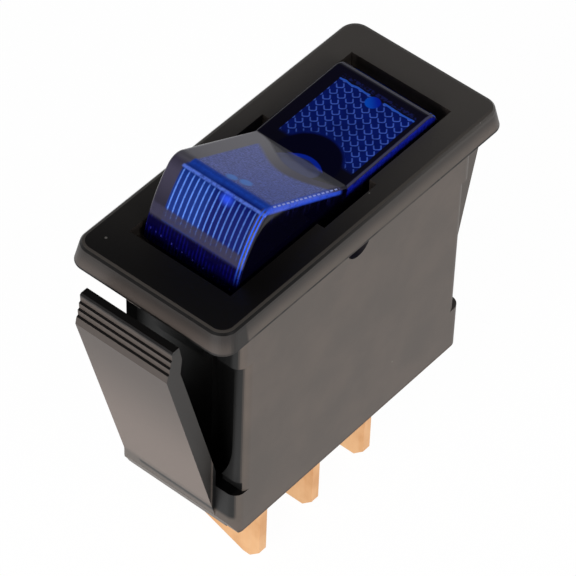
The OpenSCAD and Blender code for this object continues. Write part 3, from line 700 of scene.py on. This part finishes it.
def lathe(profile, axis_x):
    """Closed ring surface: a closed profile of (radius, height) carried round an upright axis
    that stands at (axis_x, 0)."""
    angle = np.linspace(0.0, 2 * math.pi, LATHE_STEPS, endpoint=False)
    profile = np.asarray(profile, float)
    ring = np.stack([profile[:, None, 0] * np.cos(angle) + axis_x,
                     profile[:, None, 0] * np.sin(angle),
                     np.repeat(profile[:, 1:], LATHE_STEPS, axis=1)], -1)
    number = np.arange(len(profile) * LATHE_STEPS).reshape(-1, LATHE_STEPS)
    beside, below = np.roll(number, -1, axis=1), np.roll(number, -1, axis=0)
    quads = np.stack([number, beside, np.roll(below, -1, axis=1), below], -1)
    return ring.reshape(-1, 3), quads.reshape(-1, 4)


points, quads = closed_shell(outer, inner)
print("shell has", len(points), "points and", len(quads), "quads")


# %% [markdown]
# ## The rocker's finish
# The outside of the rocker is polished, and the eye sees the relief behind the clear wall as
# bright blue lines on dark blue. Real transmission would need many bounces of light and would
# still depend on the lamp's state. So the pattern is painted as colour under a glossy surface,
# and with it painted light: the lamp's light in the relief, its glow and glints, and painted
# reflections and highlights on the polish. All of it is laid out from the place on the level
# rocker in millimetres, and the modelled relief lies behind it.
# First come the places that all parts of the pattern use.

# %% places on the rocker
rocker_blue, rocker_tree, rocker_shader = new_material(
    "clear_blue_plastic", Roughness=0.09, IOR=1.5, Specular_IOR_Level=0.13)
level = rocker_tree.nodes.new("ShaderNodeAttribute")
level.attribute_name = "level_place"
place = level.outputs["Vector"]
x, y, z = split(rocker_tree, place)

angle = z.math("ARCTAN2", abs(x))
radius = (x * x + z * z).root()
below_edge = abs(x) * math.tan(SLOPE) + RISE - z
far = x.ramp(-0.05, 0.05)
near = 1.0 - far
fine = noise(rocker_tree, place, 3.2, 3.0, 0.6)
wave = noise(rocker_tree, place, 0.9)


def from_point(x_at, y_at):
    """Distance on the plan from a point of the level rocker."""
    return ((x - x_at) * (x - x_at) + (y - y_at) * (y - y_at)).root()


print("patterns start from", len(rocker_tree.nodes), "nodes")

# %% [markdown]
# ### The far half
# Studs stand in rows on a dark field. Each shows as a bright U, a painted highlight on the lit
# half of its rounded square foot. So the U is the lower half of the curve |a|^4 + |b|^4 = r^4,
# with short straight sides above it. The round boss behind the face hides the studs near the
# valley, and its near rim shows as a ring. A bright dot, with painted light on one side of it,
# marks the end of the field, between two wavy lines.

# %% far half
FIELD_Y, FIELD_HALF = -0.35, 3.4
LEAN_X, LEAN_Y = 0.763, 0.645  # the way each U opens, as parts along x and y
SQUARENESS = 4.0
BOSS_SEEN, BOSS_SEEN_R = (0.05, -0.35), 2.8
RING_AT, RING_R = (-1.55, -0.6), 1.86
DOT_AT, DOT_R = (7.4, -0.33), 0.6
DOT_LEAN, DOT_SPLIT = 0.7, 5.4  # the dot is lighter on one side of a slanting line
FIELD_LINE_X, OUTER_LINE_X = 7.82, 8.2

cell_x = ((x - STUD_X) / STUD_PITCH + 0.5).fraction() - 0.5
cell_y = ((y - STUD_Y) / STUD_PITCH + 0.5).fraction() - 0.5
across_u = abs((cell_y * LEAN_X - cell_x * LEAN_Y) * STUD_PITCH)
up_u = (cell_x * LEAN_X + cell_y * LEAN_Y) * STUD_PITCH
square_r = (across_u ** SQUARENESS + abs(up_u.lowest(0.0)) ** SQUARENESS) ** (1.0 / SQUARENESS)
# painted highlight: the lit half of each stud's foot
stud = abs(square_r - STUD_R).ramp(0.07, 0.03) * up_u.ramp(0.2, 0.12) * wave.ramp(0.2, 0.55, 1.0, 0.6)

from_boss = from_point(*BOSS_SEEN)
from_ring = from_point(*RING_AT)
in_field = (y.band(FIELD_Y, FIELD_HALF, 0.06) * x.ramp(FIELD_END, FIELD_END - 0.1)
            * x.ramp(FIELD_START - 0.3, FIELD_START + 0.3))
studs_here = (in_field * from_boss.ramp(BOSS_SEEN_R - 0.05, BOSS_SEEN_R + 0.15)
              * x.ramp(FIELD_START - 0.1, FIELD_START + 0.1))
across_field = y.band(FIELD_Y, FIELD_HALF, 0.1)
outer_line = x.band(OUTER_LINE_X, 0.12, 0.1) * across_field * fine.ramp(0.45, 0.55)
wavy_x = x + (noise(rocker_tree, place, 1.6, 1.0) - 0.5) * 0.2
wavy_line = (wavy_x.band(FIELD_LINE_X, 0.06, 0.06) * across_field
             * abs(y - DOT_AT[1]).ramp(DOT_R, DOT_R + 0.1))
# painted light on one side of the dot
dot_light = (x * DOT_LEAN - y * DOT_LEAN - DOT_SPLIT).ramp(-0.5, 0.5)

far_colour = painted(
    in_field.mix(tone(20, 18, 38), wave.mix(tone(8, 24, 104), tone(18, 44, 160))),
    (studs_here * stud, tone(84, 122, 246)),
    (outer_line, tone(34, 40, 104)),
    (wavy_line, tone(60, 116, 250)),
    (from_boss.ramp(BOSS_SEEN_R, BOSS_SEEN_R - 0.3), tone(6, 5, 42)),
    (from_point(*DOT_AT).ramp(DOT_R + 0.04, DOT_R - 0.06),
     dot_light.mix(tone(16, 104, 255), tone(10, 44, 210))),
    (from_ring.ramp(RING_R + 0.09, RING_R - 0.16) * wave.ramp(0.3, 0.6, 1.0, 0.7), tone(56, 66, 124)),
    (from_ring.band(RING_R, 0.13, 0.1) * x.ramp(-0.5, 0.1), tone(18, 60, 230)))
print("far half done,", len(rocker_tree.nodes), "nodes")

# %% [markdown]
# ### The near half
# The raised face shows a fine weave instead of studs, because it is seen at a flat angle. The
# boss shows dark through its foot, bounded by a bow with the formula
# x = -BOW_REACH * (1 - ((y - BOW_Y) / BOW_HALF)^2)^2, with a pale rim outside it, a painted
# reflection that also covers the +Y edge. Near the ridge come a deep blue band, a thin line of
# painted highlight and two painted glints of the lamp. Along the -Y edge runs a stripe of painted
# light with painted highlights in dashes.

# %% near half
BOW_Y, BOW_HALF, BOW_REACH = -1.0, 4.6, 2.3
WEAVE_LONG, WEAVE_SHORT = 1.6, 7.0
BAND_Y, DEEP_BAND_X, RIDGE_LINE_X = -0.7, -9.35, -9.98
LONG_EDGE_Y, DASHES_PER_MM = -4.2, 1.9
GLINTS = [(-8.37, -0.05, 0.58, 0.25), (-7.94, -1.0, 0.62, 0.3)]  # x, y, outer radius, full radius

from_bow_y = (y - BOW_Y) / BOW_HALF
lobe = (1.0 - from_bow_y * from_bow_y).highest(0.0)
from_bow = 0.0 - x - lobe * lobe * BOW_REACH
along = noise(rocker_tree, stretched(rocker_tree, place, (WEAVE_LONG, WEAVE_SHORT, 1.0)), 2.6)
across = noise(rocker_tree, stretched(rocker_tree, place, (WEAVE_SHORT, WEAVE_LONG, 1.0)), 2.3)
weave = (along * 0.5 + across * 0.5).ramp(0.32, 0.68)
towards_edge = y.ramp(2.0, -3.8)
woven = weave.mix(towards_edge.mix(tone(66, 82, 160), tone(34, 54, 146)),
                  towards_edge.mix(tone(112, 130, 232), tone(84, 112, 226)))
# painted reflection: a grey veil on the near face, lighter towards +Y
near_reflection = painted(y.ramp(3.4, -2.9).mix(tone(122, 120, 130), tone(50, 46, 84)),
               (x.ramp(-6.0, -9.6) * y.ramp(2.4, 3.0), tone(104, 102, 114)))
# painted glints of the lamp
glint, second_glint = [from_point(at_x, at_y).ramp(outer_r, full_r)
                       for at_x, at_y, outer_r, full_r in GLINTS]
# painted light along the -Y edge, which is lit from inside, and painted highlights in dashes on it
long_stripe = (y.ramp(LONG_EDGE_Y + 0.25, LONG_EDGE_Y + 0.1) * x.ramp(-0.9, -5.5)
               * x.ramp(-10.2, -9.9) * fine.ramp(0.3, 0.6, 1.0, 0.6))
dashes = ((x * DASHES_PER_MM).fraction().band(0.5, 0.25, 0.1) * y.band(LONG_EDGE_Y, 0.03, 0.04)
          * x.band(-5.0, 3.8, 0.4))

near_colour = painted(
    near_reflection,
    (y.ramp(2.85, 2.65) * from_bow.ramp(1.1, 1.7), woven),
    (from_bow.ramp(0.3, -0.1), far_colour),
    (x.band(DEEP_BAND_X, 0.42, 0.2) * y.band(BAND_Y, 3.5, 0.2),
     fine.mix(tone(26, 60, 176), tone(44, 100, 240))),
    # painted highlight along the ridge
    (x.band(RIDGE_LINE_X, 0.06, 0.1) * y.band(BAND_Y, 3.6, 0.2), tone(104, 142, 255)),
    (glint.highest(second_glint), tone(70, 144, 255)),
    (long_stripe, tone(62, 100, 240)),
    (dashes, tone(170, 186, 255)))
print("near half done,", len(rocker_tree.nodes), "nodes")

# %% [markdown]
# ### The ends
# Each end shows its flutes as upright light lines between the ridge and a grey band, which is a
# painted reflection. Below the band lies a dark painted reflection of the black bezel, with small
# painted glints in it. Heights on an end are written as angles about the pivot, in radians,
# because the end is struck from it. On the near end a thin crest of painted highlight and the
# blurred painted glow of the lamp lie just under the ridge. Painted light runs along the -Y
# corner, and a painted reflection along the +Y edge.

# %% ends
FLUTES_HALF, FLUTES_ANGLE, REFLECTION_BAND_ANGLE, DARK_REFLECTION_ANGLE = 3.4, 0.355, 0.2, 0.165
BORDER_NEAR_Y, BORDER_REAR_Y = -3.75, 3.0
CREST_ANGLE, GLOW_ANGLE, GLOW_Y, GLOW_R = 0.535, 0.5, -1.15, 0.85
GLOW_FLATNESS = 200.0  # square millimetres that one square radian of height counts for
STREAK_PITCH, GLINT_PITCH, GLINT_ANGLE = 0.31, 0.5, 0.028
CORNER_LINE_Y, OUTER_EDGE_Y, REAR_EDGE_Y = -3.98, -4.22, 4.28

flute_at = ((y - FIRST_FLUTE) / FLUTE_PITCH + 0.5).fraction() - 0.5
flutes = (y.band(RELIEF_Y, FLUTES_HALF, 0.06) * angle.band(FLUTES_ANGLE, 0.15, 0.03)
          * abs(flute_at).ramp(0.19, 0.05)
          * fine.ramp(0.25, 0.55, 1.0, 0.6) * y.ramp(1.0, -3.0, 0.55, 0.9))
border = angle.ramp(0.2, 0.5).mix(tone(40, 37, 52), tone(66, 62, 80))
dark_streaks = (y / STREAK_PITCH).fraction().band(0.5, 0.1, 0.2) * wave.ramp(0.4, 0.6) * 0.9
# painted glints in a row near the foot of the end
window_glints = ((y / GLINT_PITCH).fraction().band(0.5, 0.05, 0.1)
          * (angle - y * 0.01).band(GLINT_ANGLE, 0.003, 0.007) * fine.ramp(0.4, 0.6) * 0.8)
# painted highlight: a thin crest of light under the near ridge
crest = (angle.band(CREST_ANGLE, 0.004, 0.012) * y.band(-0.6, 3.7, 0.2)
         * fine.ramp(0.3, 0.6, 0.75, 0.3) * near)
# painted glow of the lamp, blurred, under the near ridge
off_angle, off_y = angle - GLOW_ANGLE, y - GLOW_Y
from_glow = (off_angle * off_angle * GLOW_FLATNESS + off_y * off_y).root()
# painted light along the -Y corner of the end
corner_line = (y.band(CORNER_LINE_Y, 0.035, 0.06).highest(y.band(OUTER_EDGE_Y, 0.02, 0.04))
               * angle.ramp(0.0, 0.3))
# painted reflection along the +Y edge of the end
rear_line = y.ramp(REAR_EDGE_Y - 0.08, REAR_EDGE_Y + 0.02) * angle.ramp(0.1, 0.3)
at_border = y.ramp(BORDER_REAR_Y, BORDER_REAR_Y + 0.15).highest(
    y.ramp(BORDER_NEAR_Y, BORDER_NEAR_Y - 0.1))

end_colour = painted(
    y.ramp(0.5, -0.5).mix(tone(22, 48, 128), tone(14, 26, 100)),
    (flutes, tone(100, 146, 245)),
    (at_border, border),
    # a grey band of painted reflection, and below it a dark painted reflection of the black bezel
    (angle.band(REFLECTION_BAND_ANGLE, 0.03, 0.025) * fine.ramp(0.2, 0.6, 0.95, 0.6), tone(54, 51, 74)),
    (angle.ramp(DARK_REFLECTION_ANGLE, DARK_REFLECTION_ANGLE - 0.02), dark_streaks.mix(tone(4, 2, 44), tone(8, 7, 84))),
    (window_glints, tone(60, 62, 170)),
    (crest, tone(104, 140, 255)),
    (from_glow.ramp(GLOW_R, 0.0) * near, tone(48, 84, 240)),
    (corner_line, tone(52, 100, 244)),
    (rear_line, tone(112, 108, 116)))
print("ends done,", len(rocker_tree.nodes), "nodes")

# %% [markdown]
# ### The sides, and the whole finish
# The sides are nearly black, with short streaks of painted light below the upper edge, which is lit
# from inside.
# Masks then put the parts together: far over near along the valley, the ends where the distance
# from the pivot nears its largest, and the sides over all.

# %% sides and whole finish
END_LINE_R = 11.0

streak = noise(rocker_tree, stretched(rocker_tree, place, (4.0, 1.0, 0.5)), 1.5)
# painted light below the upper edge of the sides, which is lit from inside
near_strip = (near * below_edge.ramp(0.6, 0.35) * fine.ramp(0.2, 0.55, 1.0, 0.5)
              * x.ramp(-0.6, -1.0))
far_strip = far * below_edge.ramp(1.1, 0.3) * fine.ramp(0.3, 0.6, 1.0, 0.4)
side_colour = painted(
    (streak.ramp(0.5, 0.68) * below_edge.ramp(1.6, 0.4)).mix(tone(3, 2, 18), tone(22, 22, 70)),
    (near_strip, tone(52, 88, 226)),
    (far_strip, tone(18, 32, 160)))

# painted reflections: thin grey lines along both long edges and across the far face near its end
far_outline = y.band(OUTER_EDGE_Y, 0.04, 0.06).highest(y.band(REAR_EDGE_Y, 0.02, 0.04)).highest(
    radius.band(END_LINE_R, 0.03, 0.06) * far)
rocker_colour = painted(
    far.mix(near_colour, painted(far_colour, (far_outline, tone(70, 70, 96)))),
    (radius.ramp(REACH - 0.42, REACH - 0.12), end_colour),
    (abs(y).ramp(HALF_W - 0.06, HALF_W - 0.01), side_colour))
plug(rocker_colour, rocker_shader.inputs["Base Color"])
print("rocker finish has", len(rocker_tree.nodes), "nodes")


# %% [markdown]
# ## The rocker's pieces
# The cap is the shell above. Below its face stand the parts that work the switch: the boss with
# the guide tube for the plunger, the lamp's socket, the peg for the lamp's spring and the two
# pivot pins. They are turned shapes, so each is a profile of radius and height carried round an
# axis, which gives true bores without any boolean cut. Their tops end inside the face's wall.

# %% rocker pieces
POLE_R = 0.02
BORE_R, TUBE_R, TUBE_FOOT_Z, BOSS_FOOT_Z, BORE_TOP_Z = 1.55, 2.5, -6.0, -2.0, 2.45
SOCKET_X, SOCKET_BORE_R, SOCKET_R, SOCKET_FOOT_Z, SOCKET_TOP_Z = -6.9, 1.95, 2.5, -1.4, 4.0
PEG_X, PEG_R, PEG_SEAT_R, PEG_FOOT_Z, PEG_SEAT_Z = 6.2, 0.85, 1.45, -2.2, 0.85
SOCKET_ROOF_X, PEG_ROOF_X, BOSS_DROP = 5.2, 5.0, 0.1
PIN_R, PIN_ROOT_Y, PIN_TIP_Y, PIN_BEVEL = 1.2, 4.0, 5.85, 0.13


def dark_blue_plastic():
    """The same plastic where only its own depth shows."""
    material, tree, shader = new_material("blue_plastic_inside", Roughness=0.3)
    grain = place_group(tree, grain_group, 3.0)
    plug(grain["Cloud"].ramp(0.3, 0.7).mix(tone(8, 14, 92), tone(14, 26, 130)),
         shader.inputs["Base Color"])
    bump(tree, shader, grain["Height"], 0.15)
    return material


def under_face(from_valley):
    """Height of the middle of the face's wall at a distance from the valley."""
    return RISE - 0.5 * WALL_FACE + from_valley * math.tan(SLOPE)


def guide_tube():
    """Boss under the valley, with the plunger's tube below it and the blind bore."""
    top = under_face(0.0) - BOSS_DROP
    return lathe([(BORE_R, TUBE_FOOT_Z), (TUBE_R, TUBE_FOOT_Z), (TUBE_R, BOSS_FOOT_Z),
                  (BOSS_R, BOSS_FOOT_Z), (BOSS_R, top), (POLE_R, top),
                  (POLE_R, BORE_TOP_Z), (BORE_R, BORE_TOP_Z)], 0.0)


def lamp_socket():
    """Cup that holds the lamp under the near face."""
    top = under_face(SOCKET_ROOF_X)
    return lathe([(SOCKET_BORE_R, SOCKET_FOOT_Z), (SOCKET_R, SOCKET_FOOT_Z), (SOCKET_R, top),
                  (POLE_R, top), (POLE_R, SOCKET_TOP_Z), (SOCKET_BORE_R, SOCKET_TOP_Z)], SOCKET_X)


def spring_peg():
    """Peg and seat of the lamp's spring under the far face."""
    top = under_face(PEG_ROOF_X)
    return lathe([(POLE_R, PEG_FOOT_Z), (PEG_R, PEG_FOOT_Z), (PEG_R, PEG_SEAT_Z),
                  (PEG_SEAT_R, PEG_SEAT_Z), (PEG_SEAT_R, top), (POLE_R, top)], PEG_X)


def pivot_pin(sign):
    """Bevelled pin, turned upright and then laid along +Y or -Y by a quarter turn."""
    upright, pin_quads = lathe([(POLE_R, PIN_ROOT_Y), (PIN_R, PIN_ROOT_Y),
                                (PIN_R, PIN_TIP_Y - PIN_BEVEL), (PIN_R - PIN_BEVEL, PIN_TIP_Y),
                                (POLE_R, PIN_TIP_Y)], 0.0)
    laid = np.stack([upright[:, 0], sign * upright[:, 2], -sign * upright[:, 1]], -1)
    return laid, pin_quads


cap = make_piece("rocker_cap", put_in_place(points), quads, rocker_blue, level=points)
core_points, core_quads = zip(guide_tube(), lamp_socket(), spring_peg(), pivot_pin(1), pivot_pin(-1))
starts = np.cumsum([0] + [len(part) for part in core_points[:-1]])
core = make_piece("rocker_core", put_in_place(np.concatenate(core_points)),
                  np.concatenate([part + start for part, start in zip(core_quads, starts)]),
                  dark_blue_plastic())
for piece in (cap, core):
    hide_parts("rocker")
    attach(piece, "rocker")


# %% [markdown]
# ## World
# A white sweep surrounds the object. The world is white low down, where the sweep's wall would
# be, and dims upwards, as a ceiling does, so flat tops stay dark and upright faces catch light.
# Rays from the camera see plain white everywhere. Mirrored rays see the wall dimmed by nearly
# half, which keeps a grey veil off the polished rocker.

# %% world
HORIZON, CEILING, CEILING_LIGHT, MIRROR_DIM = 0.2, 0.6, 0.1, 0.45

world = bpy.data.worlds.new("studio")
bpy.context.scene.world = world
world.use_nodes = True
tree = world.node_tree
background = tree.nodes["Background"]
direction = tree.nodes.new("ShaderNodeTexCoord")
upward = split(tree, direction.outputs["Generated"])[2]
path = tree.nodes.new("ShaderNodeLightPath")
seen, mirrored = (Wire(tree, path.outputs[f"Is {kind} Ray"]) for kind in ("Camera", "Glossy"))
wall = upward.ramp(CEILING, HORIZON, 1.0, CEILING_LIGHT)
plug((wall * (1.0 - mirrored * MIRROR_DIM)).highest(seen), background.inputs["Strength"])
plug((1.0, 1.0, 1.0), background.inputs["Color"])
print("world has", len(tree.nodes), "nodes")

# %% [markdown]
# ## Floor
# White paper that is only diffuse turns grey where the light falls off. So the floor mixes a
# white glow, for rays from the camera, from glossy faces and through clear ones, with a real
# diffuse surface, which keeps a trace of the object's shadow.

# %% floor
FLOOR_HALF_M, PAPER_WHITE, GLOW_SHARE, GLOW_LIGHT = 1.6, 0.86, 0.92, 1.05

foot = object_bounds()[0][2]
floor_mesh = bpy.data.meshes.new("floor")
corners = [(-1, -1), (1, -1), (1, 1), (-1, 1)]
floor_mesh.from_pydata([(FLOOR_HALF_M * side_x, FLOOR_HALF_M * side_y, foot)
                        for side_x, side_y in corners], [], [(0, 1, 2, 3)])
floor = bpy.data.objects.new("floor", floor_mesh)
bpy.context.scene.collection.objects.link(floor)

paper = bpy.data.materials.new("white_paper")
paper.use_nodes = True
tree = paper.node_tree
tree.nodes.clear()
output = tree.nodes.new("ShaderNodeOutputMaterial")
mixer = tree.nodes.new("ShaderNodeMixShader")
diffuse = tree.nodes.new("ShaderNodeBsdfDiffuse")
glow = tree.nodes.new("ShaderNodeEmission")
plug((PAPER_WHITE,) * 3, diffuse.inputs["Color"])
plug(GLOW_LIGHT, glow.inputs["Strength"])
path = tree.nodes.new("ShaderNodeLightPath")
seen, mirrored, through = (
    Wire(tree, path.outputs[f"Is {kind} Ray"]) for kind in ("Camera", "Glossy", "Transmission"))
plug(seen.highest(mirrored).highest(through) * GLOW_SHARE, mixer.inputs[0])
tree.links.new(diffuse.outputs[0], mixer.inputs[1])
tree.links.new(glow.outputs[0], mixer.inputs[2])
tree.links.new(mixer.outputs[0], output.inputs["Surface"])
floor_mesh.materials.append(paper)
print("floor at", round(foot / MM, 2), "mm")

# %% [markdown]
# ## Lamps
# The world gives the even light. Two large, weak area lamps add direction: one from the near
# end, which lights the clip, and a weaker one that faces the long side. They are large for
# their distance, so their shadows have soft edges.

# %% lamps
TARGET_MM = (0, 0, -12)


def soft_lamp(name, place_mm, size_mm, watts):
    """Square area lamp at a place, turned to the target."""
    data = bpy.data.lights.new(name, "AREA")
    data.size = size_mm * MM
    data.energy = watts
    lamp = bpy.data.objects.new(name, data)
    aim = (Vector(TARGET_MM) - Vector(place_mm)).to_track_quat("-Z", "Y")
    lamp.matrix_world = Matrix.Translation(Vector(place_mm) * MM) @ aim.to_matrix().to_4x4()
    bpy.context.scene.collection.objects.link(lamp)


soft_lamp("end_lamp", (-420, -60, 40), 260, 1.6)
soft_lamp("side_lamp", (-60, -420, 60), 300, 0.7)
bpy.context.scene.view_settings.view_transform = "Standard"
